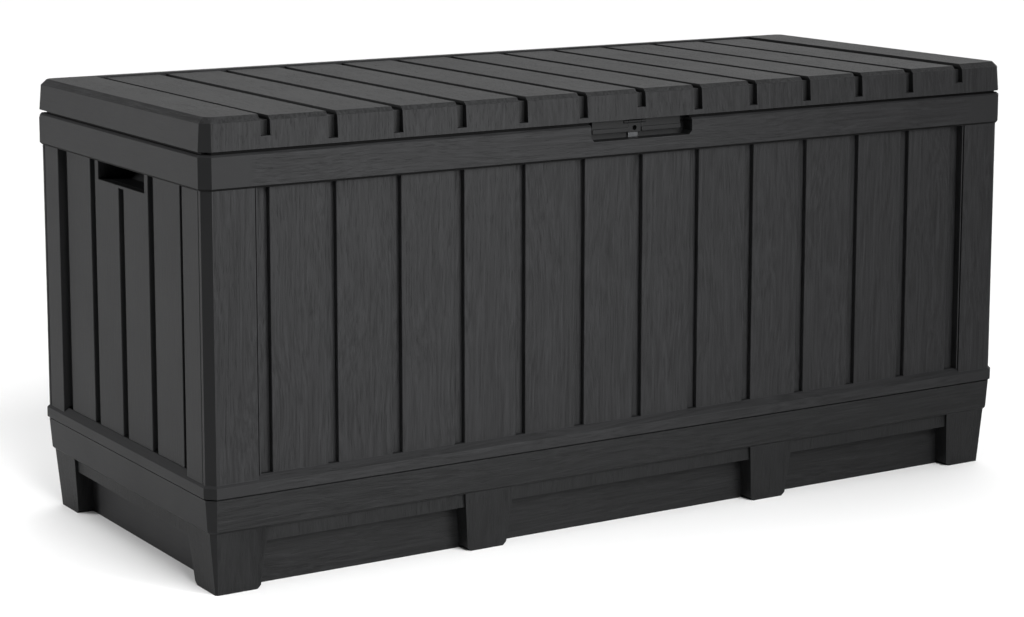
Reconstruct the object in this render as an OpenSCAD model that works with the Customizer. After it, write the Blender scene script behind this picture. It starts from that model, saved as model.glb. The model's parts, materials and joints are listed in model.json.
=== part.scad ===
// Deck storage box: a tub base on feet, board-look walls, a rim band and a hinged lid.
// Millimetres, +Z up, front at -Y. The origin is the middle of the footprint, on the ground.

/* [Overall] */
// Width over the rim band, left to right
box_w = 1278; // [1240:2:1320]
// Depth over the rim band, front to back
box_d = 528; // [516:2:540]
// Height of the top of the rim band above the ground
rim_top = 550; // [520:2:580]
// Leg of the chamfer down each vertical corner
corner_chamfer = 12.5; // [10:0.5:16]

/* [Base] */
// Height of the floor of the tub
tub_floor_top = 14; // [12:1:20]
// Height of the top of the recessed panels between the feet
recess_top = 61; // [54:1:66]
// Height of the underside of the base band
band_bottom = 80; // [76:1:84]
// Height of the top of the base band
band_top = 124; // [116:1:126]
// How far the feet lean in from top to bottom
foot_lean = 7.5; // [4:0.5:10]
// Width of a middle foot at its top
mid_foot_w = 74; // [60:2:84]
// Distance of the middle feet from the centre
mid_foot_x = 231; // [210:1:250]

/* [Walls] */
// Number of boards on the front and on the back
front_boards = 12; // [10:2:14]
// Width of the groove between two front boards
front_groove = 14.5; // [12:0.5:17]
// Width of the groove between two side boards
side_groove = 16; // [12:1:18]
// Depth of every groove
groove_depth = 7; // [5:0.5:8]
// Width of the channel between the outer boards and the corner
channel_w = 18.5; // [16:0.5:21]
// Thickness of a moulded wall
wall_t = 4; // [3.5:0.5:4.5]

/* [Rim] */
// Height of the rim band
rim_h = 44; // [40:1:48]
// Bevel along the top and bottom edges of the rim band
rim_bevel = 3; // [2:0.5:4]
// Width of the latch recess
recess_w = 162; // [150:2:180]
// Depth of the latch recess below the top of the rim
recess_h = 22.5; // [20:0.5:24]

/* [Handles] */
// Width of each handle opening
handle_w = 146; // [120:2:150]
// Height of each handle opening
handle_h = 26; // [24:1:30]
// Reach of the handle cup behind the wall
handle_reach = 38; // [30:1:46]

/* [Lid] */
// Height of the lid, from its lower edge to its top
lid_h = 41.4; // [40:0.2:46]
// Open seam between the rim and the lid
seam_gap = 3.6; // [3:0.2:4]
// Bevel round the top of the lid
lid_bevel = 7.5; // [6:0.5:8]
// Width of a groove in the lid
lid_groove = 13; // [10:0.5:14]
// Step down from the border of the lid to its middle boards
lid_step = 2; // [1:0.5:2.5]

/* [Hinges and latch] */
// Distance of the outer hinges from the centre
hinge_x = 430; // [380:5:460]
// Radius of a hinge pin
hinge_pin_r = 2.5; // [2:0.25:3]
// Radius of the hole for a padlock shackle
padlock_r = 3.5; // [3:0.25:4]

/* [Hidden] */
$fn = 48;

half_w = box_w / 2;
half_d = box_d / 2;
// Half extent of the plan along its diagonals, where the corner chamfers are
half_diag = (half_w + half_d - corner_chamfer) / sqrt(2);
far = 2 * box_w;
eps = 0.01;

// Insets of each surface from the outer face of the rim band
ledge_inset = 0.5;
post_inset = 3.5;
board_inset = 9;
floor_inset = board_inset + groove_depth;
wall_inset = floor_inset + wall_t;
band_inset_top = 3;
band_inset = 6;
foot_inset = 9.5;
toe_bevel = 5;
strip_inset = 14;
tub_inset_top = 36;
tub_inset = 40;
tub_wall = 5;
tub_floor_t = 4;
tub_inner = tub_inset + tub_wall;
band_bevel = 3.5;

// Lower frame
frame_bottom = band_top;
ledge_bottom = band_top + 2.6;
ledge_top = ledge_bottom + 13.4;
frame_top = ledge_top + board_inset - ledge_inset;
frame_inner = 26;
tongue_bottom = frame_top - 12;
tongue_gap = 0.2;

// Rim and wall tops
rim_bottom = rim_top - rim_h;
rim_skin = 4;
rim_inner = 26;
rim_mouth_h = 3;
pocket_inner = 22.3;
wall_top = rim_top - rim_skin - 1;
lip_out = 22;
lip_in = 25.5;
lip_h = 10;
ridge_out = 6.4;
ridge_in = 10;
ridge_h = 5;
shelf_z = rim_top - 6;
shelf_depth = 15;
rear_wall_top = shelf_z - 8;

// Front and rear boards
pitch = (box_w - 172.2) / front_boards;
boards_half = (front_boards * pitch - front_groove) / 2;
channel_edge = boards_half + channel_w;
end_lip = 2;
groove_side = 1.5;
panel_half = channel_edge + end_lip;
seam = 1.5;
post_edge = panel_half + seam;
lip_face = post_inset + 1;

// Side boards
side_pitch = pitch;
side_channel_edge = half_d - 67;
side_boards_half = side_channel_edge - 18;
side_panel_half = half_d - 21;
post_back = side_panel_half + seam;

// Handle
handle_z = rim_bottom - handle_h;
cup_wall = 3;
cup_rise = 22;
cup_slope = 8;
grip_clear = 0.5;

// Lid
lid_bottom = rim_top + seam_gap;
lid_top = lid_bottom + lid_h;
lid_inset = 0.6;
lid_draft = 2.5;
lid_skirt = 5.6;
lid_groove_floor = lid_top - lid_step - 6;
lid_skin = 4;
lid_boards = front_boards + 2;
lid_lip_w = 24;
notch_depth = 11;
notch_long = 10;
notch_short = 19;
notch_wall = 3;
lid_core = 14;
lid_inner_top = lid_groove_floor - lid_skin;
liner_z = lid_bottom + 13;
liner_t = 3;
liner_edge = 16;
liner_rib = 8;
liner_panel_x = 400;
liner_panel_w = 360;
liner_panel_d = 400;
boss_r = 5;
boss_x = 3 * pitch;
boss_pairs = 2;
boss_y = half_d - 32;

// Hinge
hinge_y = half_d - 7;
hinge_z = rim_top + 2;
knuckle_r = 6;
lid_knuckle_w = 26;
body_knuckle_w = 18;
knuckle_gap = 0.5;
hinge_w = lid_knuckle_w + 2 * (body_knuckle_w + knuckle_gap);
running = 0.06;
bracket_t = 4;
bracket_ear = 13;
bracket_half = hinge_w / 2 + bracket_ear;
bracket_hole_x = hinge_w / 2 + 6;
bracket_front = 7.5;
leaf_t = 4;
leaf_low = 8;
leaf_high = 28;
leaf_hole_x = 22;
leaf_hole_z = 18;
leaf_back = half_d - lid_skirt - hinge_y;
leaf_bite = 2.5;

// Latch
hasp_x = -3;
hasp_w = 20;
hasp_inset = 14;
hasp_t = 3;
hasp_pin_r = 1.5;
hasp_z = rim_top - 1;
hasp_bottom = rim_top - 15.5;
padlock_z = rim_top - 9.5;
hasp_gap = 0.5;
lug_r = hasp_pin_r + 1.3;
lug_w = 7;
latch_half = 71;
latch_bottom = rim_top - 14.5;
latch_bead = 6;
pocket_back = 22;
pocket_wall = 1.7;
recess_back = pocket_back - pocket_wall;
recess_cut = 5;
staple_front = hasp_inset + hasp_t + 0.8;
staple_w = 16;

// Screws
screw_r = 2;
screw_head_r = 4;
screw_head_h = 2.2;
flange_w = 25;
flange_t = 4;
corner_bite = 3.5;
corner_screw_z = [200:120:440];

// ---------- shared shapes ----------

// A profile is a list of [inset, height] points up one side of the box.
function mirrored(profile, half) = concat(
    [for (p = profile) [half - p[0], p[1]]],
    [for (i = [len(profile) - 1:-1:0]) [profile[i][0] - half, profile[i][1]]]
);

// Prism of a profile, lying across the X direction
module across_x(profile, half) {
    rotate([90, 0, 0]) translate([0, 0, -far / 2]) linear_extrude(far) polygon(mirrored(profile, half));
}

// Prism of a profile, lying across the Y direction
module across_y(profile, half) {
    rotate([0, 0, 90]) across_x(profile, half);
}

// Solid that follows a profile round all four sides, with chamfered corners
module body_of(profile) {
    intersection() {
        across_x(profile, half_w);
        across_y(profile, half_d);
        rotate([0, 0, 45]) across_x(profile, half_diag);
        rotate([0, 0, -45]) across_x(profile, half_diag);
    }
}

// Solid that follows a profile round all four sides, with square corners
module core_of(profile) {
    intersection() {
        across_x(profile, half_w);
        across_y(profile, half_d);
    }
}

// Ring between two insets and two heights, with chamfered corners outside and square ones inside
module ring(outer, inner, low, high) {
    difference() {
        body_of([[outer, low], [outer, high]]);
        core_of([[inner, low - 1], [inner, high + 1]]);
    }
}

// Box given by its lowest and highest corners
module span(low, high) {
    translate(low) cube(high - low);
}

// Cylinder along X, centred on a point
module rod_x(p, r, length) {
    translate([p[0] - length / 2, p[1], p[2]]) rotate([0, 90, 0]) cylinder(r = r, h = length);
}

// Cylinder along Y from a point towards +Y
module rod_y(p, r, length) {
    translate(p) rotate([-90, 0, 0]) cylinder(r = r, h = length);
}

// Copies of the front left corner at all four corners
module each_corner() {
    for (mx = [0, 1], my = [0, 1]) mirror([mx, 0, 0]) mirror([0, my, 0]) children();
}

module mirror_x() {
    mirror([1, 0, 0]) children();
}

module mirror_y() {
    mirror([0, 1, 0]) children();
}

// ---------- base ----------

// Slab that narrows towards the ground, used for the sides of a foot
module foot_slab_x(low, high) {
    rotate([90, 0, 0]) translate([0, 0, -far / 2]) linear_extrude(far) polygon([
        [low + foot_lean + toe_bevel, 0], [high - foot_lean - toe_bevel, 0], [high - foot_lean, toe_bevel],
        [high, band_bottom + eps], [low, band_bottom + eps], [low + foot_lean, toe_bevel]
    ]);
}

module foot_outer() {
    body_of([[foot_inset + foot_lean, 0], [foot_inset, band_bottom + eps]]);
}

module base_outer() {
    body_of([
        [tub_inset, 0], [tub_inset_top, recess_top],
        [strip_inset + 1, recess_top], [strip_inset, band_bottom],
        [foot_inset, band_bottom], [band_inset, band_bottom + band_bevel], [band_inset_top, band_top]
    ]);
}

module corner_feet() {
    inner_x = half_w - 86;
    inner_y = half_d - 84;
    intersection() {
        foot_outer();
        union() {
            foot_slab_x(inner_x, far);
            foot_slab_x(-far, -inner_x);
        }
        rotate([0, 0, 90]) union() {
            foot_slab_x(inner_y, far);
            foot_slab_x(-far, -inner_y);
        }
    }
}

module middle_feet() {
    intersection() {
        foot_outer();
        union() {
            for (side = [-1, 1]) {
                foot_slab_x(side * mid_foot_x - mid_foot_w / 2, side * mid_foot_x + mid_foot_w / 2);
            }
        }
    }
}

// Open channel between the band and the tub, closed above by the lower frame
module band_hollow() {
    difference() {
        body_of([
            [strip_inset + 1 + wall_t, recess_top + wall_t], [strip_inset + wall_t, band_bottom + wall_t],
            [band_inset + wall_t, band_bottom + 2 * wall_t], [band_inset_top + wall_t, band_top + 1]
        ]);
        core_of([[tub_inner - 2 * wall_t, recess_top], [tub_inner - 2 * wall_t, band_top + 2]]);
    }
}

module floor_ribs() {
    rib_w = 10;
    rib_h = 4;
    rib_step = 120;
    for (i = [-4:4]) {
        span([i * rib_step - rib_w / 2, tub_inner - half_d, tub_floor_top - eps],
             [i * rib_step + rib_w / 2, half_d - tub_inner, tub_floor_top + rib_h]);
    }
}

module base_tray() color([0.13, 0.135, 0.14]) {
    difference() {
        union() {
            base_outer();
            corner_feet();
            middle_feet();
        }
        core_of([[tub_inner, tub_floor_top], [tub_inner - 4, band_top + 1]]);
        band_hollow();
        span([tub_inner - half_w, tub_inner - half_d, -1],
             [half_w - tub_inner, half_d - tub_inner, tub_floor_top - tub_floor_t]);
    }
    floor_ribs();
}

// ---------- lower frame ----------

module frame_outer() {
    body_of([
        [band_inset, frame_bottom], [band_inset, ledge_bottom], [ledge_inset, ledge_bottom],
        [ledge_inset, ledge_top], [board_inset, frame_top]
    ]);
}

module lower_frame() color([0.14, 0.145, 0.15]) {
    difference() {
        frame_outer();
        core_of([
            [tub_inner - 4, frame_bottom - 1], [tub_inner - 4, frame_bottom + 6],
            [frame_inner, frame_top], [frame_inner, frame_top + 1]
        ]);
        // Groove that holds the tongues of the walls
        ring(floor_inset, wall_inset + tongue_gap, tongue_bottom, frame_top + 1);
    }
}

// ---------- walls ----------

// One board-look panel along the front, with its tongue below and its top inside the rim
module front_panel(top) {
    y_board = board_inset - half_d;
    y_floor = floor_inset - half_d;
    y_inner = wall_inset - half_d;
    groove = front_groove / 2;
    difference() {
        union() {
            span([-panel_half, y_board, frame_top], [panel_half, y_inner, top]);
            span([-panel_half, y_floor + tongue_gap, tongue_bottom], [panel_half, y_inner, top]);
            for (side = [-1, 1]) {
                x0 = side > 0 ? channel_edge : -panel_half;
                span([x0, lip_face - half_d, frame_top], [x0 + end_lip, y_inner, rim_bottom]);
            }
        }
        for (i = [1:front_boards - 1]) {
            x = (i - front_boards / 2) * pitch;
            translate([0, 0, frame_top]) linear_extrude(top) polygon([
                [x - groove, y_board - 1], [x + groove, y_board - 1], [x + groove, y_board + 1],
                [x + groove - groove_side, y_floor], [x - groove + groove_side, y_floor],
                [x - groove, y_board + 1]
            ]);
        }
        for (side = [-1, 1]) {
            x0 = side > 0 ? boards_half : -channel_edge;
            span([x0, y_board - 1, frame_top], [x0 + channel_w, y_floor, top + 1]);
        }
        // Hollows behind the boards keep the wall at one thickness
        for (i = [0:front_boards - 1]) {
            x = (i - (front_boards - 1) / 2) * pitch;
            half = (pitch - front_groove) / 2 - wall_t;
            span([x - half, y_board + wall_t, frame_top + wall_t], [x + half, y_inner + 1, top - wall_t]);
        }
        each_corner() front_screw_places() {
            cylinder(r = screw_r, h = 2 * (flange_t + corner_bite), center = true);
        }
    }
}

module front_wall() color([0.15, 0.155, 0.16]) {
    margin = pocket_wall + 4;
    difference() {
        front_panel(wall_top);
        span([-recess_w / 2 - margin, -half_d, rim_top - recess_h - margin],
             [recess_w / 2 + margin, 0, rim_top]);
    }
}

module rear_wall() color([0.15, 0.155, 0.16]) mirror_y() front_panel(rear_wall_top);

module side_panel() {
    x_board = board_inset - half_w;
    x_floor = floor_inset - half_w;
    x_inner = wall_inset - half_w;
    hollows = [
        [side_groove / 2, side_pitch - side_groove / 2],
        [side_pitch + side_groove / 2, side_boards_half]
    ];
    difference() {
        union() {
            span([x_board, -side_boards_half, frame_top], [x_inner, side_boards_half, wall_top]);
            span([x_floor, -side_panel_half, frame_top], [x_inner, side_panel_half, wall_top]);
            for (side = [-1, 1]) {
                y0 = side > 0 ? side_channel_edge : -side_panel_half;
                y1 = y0 + side_panel_half - side_channel_edge;
                span([post_inset - half_w, y0, ledge_top], [x_inner, y1, rim_bottom]);
            }
        }
        frame_outer();
        for (i = [-1:1]) {
            y = i * side_pitch;
            top = i == 0 ? handle_z - wall_t : wall_top + 1;
            span([x_board - 1, y - side_groove / 2, frame_top - 1], [x_floor, y + side_groove / 2, top]);
        }
        for (side = [-1, 1], h = hollows) {
            y0 = side > 0 ? h[0] : -h[1];
            span([x_board + wall_t, y0 + wall_t, frame_top + wall_t],
                 [x_inner + 1, y0 + h[1] - h[0] - wall_t, handle_z - 2 * wall_t]);
        }
        span([-half_w, -handle_w / 2, handle_z], [x_inner + 1, handle_w / 2, wall_top + 1]);
        each_corner() side_screw_places() {
            cylinder(r = screw_r, h = 2 * (flange_t + corner_bite), center = true);
        }
    }
    span([x_floor + tongue_gap, -side_panel_half, tongue_bottom],
         [x_inner, side_panel_half, frame_top + eps]);
}

module left_wall() color([0.15, 0.155, 0.16]) side_panel();

module right_wall() color([0.15, 0.155, 0.16]) mirror_x() side_panel();

// ---------- corner posts ----------

// Column of the front left corner, with a flange behind each of the two walls it joins
module corner_post() {
    behind = wall_inset + flange_t;
    difference() {
        union() {
            difference() {
                intersection() {
                    body_of([[post_inset, ledge_top], [post_inset, rim_bottom]]);
                    span([-half_w, -half_d, ledge_top], [-post_edge, -post_back, rim_bottom]);
                }
                frame_outer();
                intersection() {
                    body_of([
                        [post_inset + wall_t, frame_top + wall_t], [post_inset + wall_t, rim_bottom + 1]
                    ]);
                    span([-half_w, -half_d, frame_top + wall_t],
                         [-post_edge - wall_t, -post_back - wall_t, rim_bottom + 1]);
                }
            }
            span([-post_edge - wall_t, -post_back - wall_t, frame_top],
                 [-post_edge, behind - half_d, rim_bottom]);
            span([-post_edge, wall_inset - half_d, frame_top],
                 [flange_w - panel_half, behind - half_d, rim_bottom]);
            span([wall_inset - half_w, -post_back - eps, frame_top],
                 [behind - half_w, flange_w - side_panel_half, rim_bottom]);
        }
        front_screw_places() cylinder(r = screw_r, h = 3 * flange_t, center = true);
        side_screw_places() cylinder(r = screw_r, h = 3 * flange_t, center = true);
    }
}

// Where the screws of the front left corner meet the inside of its two flanges
module front_screw_places() {
    for (z = corner_screw_z) {
        translate([flange_w / 2 - panel_half, wall_inset + flange_t - half_d, z])
            rotate([-90, 0, 0]) children();
    }
}

module side_screw_places() {
    for (z = corner_screw_z) {
        translate([wall_inset + flange_t - half_w, flange_w / 2 - side_panel_half, z])
            rotate([0, 90, 0]) children();
    }
}

module front_left_post() color([0.15, 0.155, 0.16]) corner_post();

module front_right_post() color([0.15, 0.155, 0.16]) mirror_x() corner_post();

module rear_left_post() color([0.15, 0.155, 0.16]) mirror_y() corner_post();

module rear_right_post() color([0.15, 0.155, 0.16]) mirror_x() mirror_y() corner_post();

// ---------- rim ----------

// Front view of the latch recess, with its lower corners cut off
module recess_outline(grow) {
    half = recess_w / 2 + grow;
    low = rim_top - recess_h - grow;
    polygon([
        [-half + recess_cut, low], [half - recess_cut, low], [half, low + recess_cut], [half, rim_top + 1],
        [-half, rim_top + 1], [-half, low + recess_cut]
    ]);
}

module recess_prism(grow, front, back) {
    translate([0, back - half_d, 0]) rotate([90, 0, 0]) linear_extrude(back - front) recess_outline(grow);
}

// Copies of a shape drawn about a hinge pin, at each of the three hinges
module hinge_places() {
    for (x = [-hinge_x, 0, hinge_x]) translate([x, hinge_y, hinge_z]) children();
}

// Space inside the rim that takes the tops of the walls, kept low under the rear shelf
module rim_pocket() {
    ring(board_inset, wall_inset + tongue_gap, rim_bottom - 1, rim_bottom + rim_mouth_h + 1);
    difference() {
        ring(rim_skin, pocket_inner, rim_bottom + rim_mouth_h, wall_top);
        span([-half_w, half_d - wall_inset - 0.5, rear_wall_top], [half_w, half_d, wall_top + 1]);
    }
}

// Low ridge inside the skirt of the lid, along the front and the sides, which closes the seam
module seam_ridge() {
    intersection() {
        ring(ridge_out, ridge_in, rim_top - 1, rim_top + ridge_h);
        span([-half_w, -half_d, rim_top - 2], [half_w, half_d - lip_in, rim_top + lip_h]);
    }
}

module rim_frame() color([0.14, 0.145, 0.15]) {
    difference() {
        union() {
            body_of([
                [rim_bevel, rim_bottom], [0, rim_bottom + rim_bevel],
                [0, rim_top - rim_bevel], [rim_bevel, rim_top]
            ]);
            core_of([[lip_out, rim_top - 1], [lip_out, rim_top + lip_h]]);
            seam_ridge();
        }
        core_of([[rim_inner, rim_bottom - 1], [rim_inner, rim_top - rim_skin]]);
        core_of([[lip_in, rim_top - rim_skin], [lip_in, rim_top + lip_h + 1]]);
        rim_pocket();
        recess_prism(0, -1, rim_skin + 1);
        span([-recess_w / 2, -half_d - 1, wall_top - 1],
             [recess_w / 2, recess_back - half_d, rim_top + lip_h]);
        // Low shelf along the back, which the lid turns over
        span([-half_w - 1, half_d - shelf_depth, shelf_z], [half_w + 1, half_d + 1, rim_top + 1]);
        hinge_places() {
            span([-bracket_half, -bracket_front, shelf_z - hinge_z - bracket_t], [bracket_half, 6, 0]);
            for (x = [-bracket_hole_x, bracket_hole_x]) {
                translate([x, 0, shelf_z - hinge_z - 2 * bracket_t]) cylinder(r = screw_r, h = 2 * bracket_t);
            }
        }
    }
}

// ---------- handles ----------

// Closed pocket behind a handle opening, with room for the fingers to curl up behind the rim
module handle_cup() {
    x0 = wall_inset - half_w;
    x1 = x0 + handle_reach;
    xg = rim_inner + grip_clear - half_w;
    y = handle_w / 2 + cup_wall;
    high = rim_bottom + cup_rise;
    difference() {
        rotate([90, 0, 0]) translate([0, 0, -y]) linear_extrude(2 * y) polygon([
            [x0, handle_z - cup_wall], [x1, handle_z - cup_wall], [x1, high],
            [xg, high], [xg, rim_bottom], [x0, rim_bottom]
        ]);
        rotate([90, 0, 0]) translate([0, 0, -handle_w / 2]) linear_extrude(handle_w) polygon([
            [x0 - 1, handle_z], [x1 - cup_wall - cup_slope, handle_z], [x1 - cup_wall, handle_z + cup_slope],
            [x1 - cup_wall, high - cup_wall], [xg + cup_wall, high - cup_wall],
            [xg + cup_wall, rim_bottom + eps],
            [x0 - 1, rim_bottom + eps]
        ]);
    }
}

module left_handle_cup() color([0.1, 0.1, 0.105]) handle_cup();

module right_handle_cup() color([0.1, 0.1, 0.105]) mirror_x() handle_cup();

// ---------- latch ----------

module latch_pocket() color([0.1, 0.1, 0.105]) {
    difference() {
        recess_prism(pocket_wall, rim_skin + 0.1, pocket_back);
        recess_prism(0, 0, recess_back);
        span([-half_w, -half_d, wall_top - 1], [half_w, 0, rim_top + 2]);
    }
}

module lock_staple() color([0.7, 0.71, 0.72]) {
    difference() {
        span([hasp_x - staple_w / 2, staple_front - half_d, rim_top - recess_h],
             [hasp_x + staple_w / 2, recess_back - half_d, rim_top - rim_skin - 1]);
        rod_y([hasp_x, staple_front - 1 - half_d, padlock_z], padlock_r, 2 * hasp_t);
    }
}

module latch_lip() color([0.13, 0.135, 0.14]) {
    y_front = hasp_inset - half_d;
    y_back = y_front + hasp_t;
    slot_half = hasp_w / 2 + hasp_gap;
    difference() {
        union() {
            span([-latch_half, lid_skirt - half_d, lid_bottom], [latch_half, y_back, lid_bottom + hasp_t]);
            span([-latch_half, y_front, latch_bottom], [latch_half, y_back, lid_bottom + hasp_t]);
            span([-latch_half, y_front - hasp_t / 2, latch_bottom],
                 [latch_half, y_back, latch_bottom + latch_bead]);
            rod_x([hasp_x, y_front + hasp_t / 2, hasp_z], lug_r, 2 * (slot_half + lug_w));
        }
        span([hasp_x - slot_half, y_front - hasp_t, latch_bottom - 1],
             [hasp_x + slot_half, y_back + hasp_t, lid_bottom - hasp_gap]);
        rod_x([hasp_x, y_front + hasp_t / 2, hasp_z], hasp_pin_r, 2 * (slot_half + lug_w));
    }
}

module hasp_pin() color([0.6, 0.61, 0.62]) {
    length = hasp_w + 2 * (hasp_gap + lug_w);
    rod_x([hasp_x, hasp_inset + hasp_t / 2 - half_d, hasp_z], hasp_pin_r, length);
}

module hasp_tab() color([0.13, 0.135, 0.14]) {
    y_mid = hasp_inset + hasp_t / 2 - half_d;
    difference() {
        union() {
            span([hasp_x - hasp_w / 2, y_mid - hasp_t / 2, hasp_bottom],
                 [hasp_x + hasp_w / 2, y_mid + hasp_t / 2, hasp_z]);
            rod_x([hasp_x, y_mid, hasp_z], lug_r, hasp_w);
        }
        rod_x([hasp_x, y_mid, hasp_z], hasp_pin_r + running, 2 * hasp_w);
        rod_y([hasp_x, y_mid - hasp_t, padlock_z], padlock_r, 2 * hasp_t);
    }
}

// ---------- hinges, each drawn about its own pin ----------

// Two outer knuckles on a base plate that is screwed to the rim shelf
module hinge_bracket() {
    plate_top = shelf_z - hinge_z;
    plate_bottom = plate_top - bracket_t;
    offset = (lid_knuckle_w + body_knuckle_w) / 2 + knuckle_gap;
    difference() {
        union() {
            span([-bracket_half, -bracket_front, plate_bottom], [bracket_half, knuckle_r, plate_top]);
            for (side = [-1, 1]) {
                rod_x([side * offset, 0, 0], knuckle_r, body_knuckle_w);
                translate([side * offset, 0, 0])
                    span([-body_knuckle_w / 2, -knuckle_r, plate_bottom], [body_knuckle_w / 2, knuckle_r, 0]);
            }
        }
        rod_x([0, 0, 0], hinge_pin_r, hinge_w + 2);
        for (x = [-bracket_hole_x, bracket_hole_x]) {
            translate([x, 0, plate_bottom - 1]) cylinder(r = screw_r, h = bracket_t + 2);
            translate([x, 0, plate_top - screw_head_h]) cylinder(r = screw_head_r, h = bracket_t);
        }
    }
}

// Middle knuckle and the leaf that is screwed to the back of the lid
module hinge_knuckle() {
    difference() {
        union() {
            rod_x([0, 0, 0], knuckle_r, lid_knuckle_w);
            span([-lid_knuckle_w / 2, leaf_back - leaf_t, 0], [lid_knuckle_w / 2, leaf_back, leaf_high]);
            span([-hinge_w / 2, leaf_back - leaf_t, leaf_low], [hinge_w / 2, leaf_back, leaf_high]);
        }
        rod_x([0, 0, 0], hinge_pin_r + running, lid_knuckle_w + 2);
        for (x = [-leaf_hole_x, leaf_hole_x]) {
            rod_y([x, leaf_back - leaf_t - 1, leaf_hole_z], screw_r, leaf_t + 2);
        }
    }
}

module hinge_pin() {
    rod_x([0, 0, 0], hinge_pin_r, hinge_w);
    for (side = [-1, 1]) rod_x([side * (hinge_w / 2 + 0.75), 0, 0], hinge_pin_r + 1.5, 1.5);
}

module hinge_at(x) {
    translate([x, hinge_y, hinge_z]) children();
}

module left_hinge_bracket() color([0.12, 0.125, 0.13]) hinge_at(-hinge_x) hinge_bracket();

module centre_hinge_bracket() color([0.12, 0.125, 0.13]) hinge_at(0) hinge_bracket();

module right_hinge_bracket() color([0.12, 0.125, 0.13]) hinge_at(hinge_x) hinge_bracket();

module left_hinge_knuckle() color([0.12, 0.125, 0.13]) hinge_at(-hinge_x) hinge_knuckle();

module centre_hinge_knuckle() color([0.12, 0.125, 0.13]) hinge_at(0) hinge_knuckle();

module right_hinge_knuckle() color([0.12, 0.125, 0.13]) hinge_at(hinge_x) hinge_knuckle();

module left_hinge_pin() color([0.6, 0.61, 0.62]) hinge_at(-hinge_x) hinge_pin();

module centre_hinge_pin() color([0.6, 0.61, 0.62]) hinge_at(0) hinge_pin();

module right_hinge_pin() color([0.6, 0.61, 0.62]) hinge_at(hinge_x) hinge_pin();

// ---------- lid ----------

function groove_x(i) = (i - lid_boards / 2) * pitch;

function is_short(i) = i == 1 || i == lid_boards / 2 || i == lid_boards - 1;

function notch_bottom(i) = rim_top + (is_short(i) ? notch_short : notch_long);

// Bosses under the lid that take the liner screws
module boss_places() {
    for (i = [0.5 - boss_pairs:boss_pairs - 0.5], side = [-1, 1]) {
        translate([i * boss_x, side * boss_y, liner_z]) children();
    }
}

module lid_blank() {
    difference() {
        body_of([
            [lid_inset, lid_bottom], [lid_inset + lid_draft, lid_top - lid_bevel],
            [lid_inset + lid_draft + lid_bevel, lid_top]
        ]);
        body_of([[lid_skirt, lid_bottom - 1], [lid_skirt, lid_inner_top]]);
    }
    boss_places() translate([0, 0, liner_t]) {
        cylinder(r = boss_r, h = lid_inner_top - liner_z - liner_t + eps);
    }
    // Walls behind the notches along the front edge
    for (i = [1:lid_boards - 1]) {
        x = groove_x(i);
        half = lid_groove / 2 + notch_wall;
        span([x - half, lid_skirt - eps - half_d, notch_bottom(i) - notch_wall],
             [x + half, notch_depth + notch_wall - half_d, lid_inner_top + eps]);
    }
}

module lid_shell() color([0.15, 0.155, 0.16]) {
    y_border = half_d - lid_lip_w;
    mid_half = groove_x(lid_boards - 1) - lid_groove / 2;
    notch_half = hinge_w / 2 + 3;
    difference() {
        lid_blank();
        // The middle boards sit a little below the border
        span([-mid_half, -half_d - 1, lid_top - lid_step], [mid_half, y_border, lid_top + 1]);
        for (i = [1:lid_boards - 1]) {
            x = groove_x(i);
            span([x - lid_groove / 2, -half_d - 1, lid_groove_floor],
                 [x + lid_groove / 2, y_border, lid_top + 1]);
            span([x - lid_groove / 2, -half_d - 1, notch_bottom(i)],
                 [x + lid_groove / 2, notch_depth - half_d, lid_top]);
        }
        // Hollows under the boards keep the top at one thickness, around the screw bosses
        difference() {
            intersection() {
                body_of([[lid_core, lid_inner_top - 1], [lid_core, lid_top]]);
                for (i = [0:lid_boards - 1]) {
                    x = groove_x(i + 0.5);
                    half = (pitch - lid_groove) / 2 - lid_skin;
                    span([x - half, -half_d, lid_inner_top - 1],
                         [x + half, y_border - lid_skin, lid_top - lid_step - lid_skin]);
                }
            }
            boss_places() cylinder(r = boss_r, h = lid_h);
        }
        hinge_places() {
            span([-notch_half, -1, -knuckle_r], [notch_half, knuckle_r + 2, knuckle_r + 1]);
            for (x = [-leaf_hole_x, leaf_hole_x]) {
                rod_y([x, leaf_back - 1, leaf_hole_z], screw_r, leaf_bite + 1);
            }
        }
        boss_places() cylinder(r = screw_r, h = liner_t + leaf_bite + 1);
    }
}

module lid_liner() color([0.12, 0.125, 0.13]) {
    difference() {
        core_of([[liner_edge, liner_z], [liner_edge, liner_z + liner_t]]);
        for (i = [-1:1]) {
            span([i * liner_panel_x - liner_panel_w / 2, -liner_panel_d / 2, liner_z - 1],
                 [i * liner_panel_x + liner_panel_w / 2, liner_panel_d / 2, liner_z + 1]);
        }
        boss_places() translate([0, 0, -1]) cylinder(r = screw_r, h = liner_t + 2);
    }
    for (i = [-2:2]) {
        x = groove_x(lid_boards / 2 + 3 * i);
        span([x - liner_rib / 2, 2 * liner_edge - half_d, liner_z + liner_t - eps],
             [x + liner_rib / 2, half_d - 3 * liner_edge, lid_inner_top]);
    }
}

// ---------- screws ----------

// Screw with its head standing on the plane z = 0
module screw(length) {
    cylinder(r = screw_head_r, h = screw_head_h);
    translate([0, 0, -length]) cylinder(r = screw_r, h = length);
}

module bracket_screws() color([0.6, 0.61, 0.62]) {
    hinge_places() for (x = [-bracket_hole_x, bracket_hole_x]) {
        translate([x, 0, shelf_z - hinge_z - screw_head_h]) screw(bracket_t + 1);
    }
}

module knuckle_screws() color([0.6, 0.61, 0.62]) {
    hinge_places() for (x = [-leaf_hole_x, leaf_hole_x]) {
        translate([x, leaf_back - leaf_t, leaf_hole_z]) rotate([90, 0, 0]) screw(leaf_t + leaf_bite);
    }
}

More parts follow.
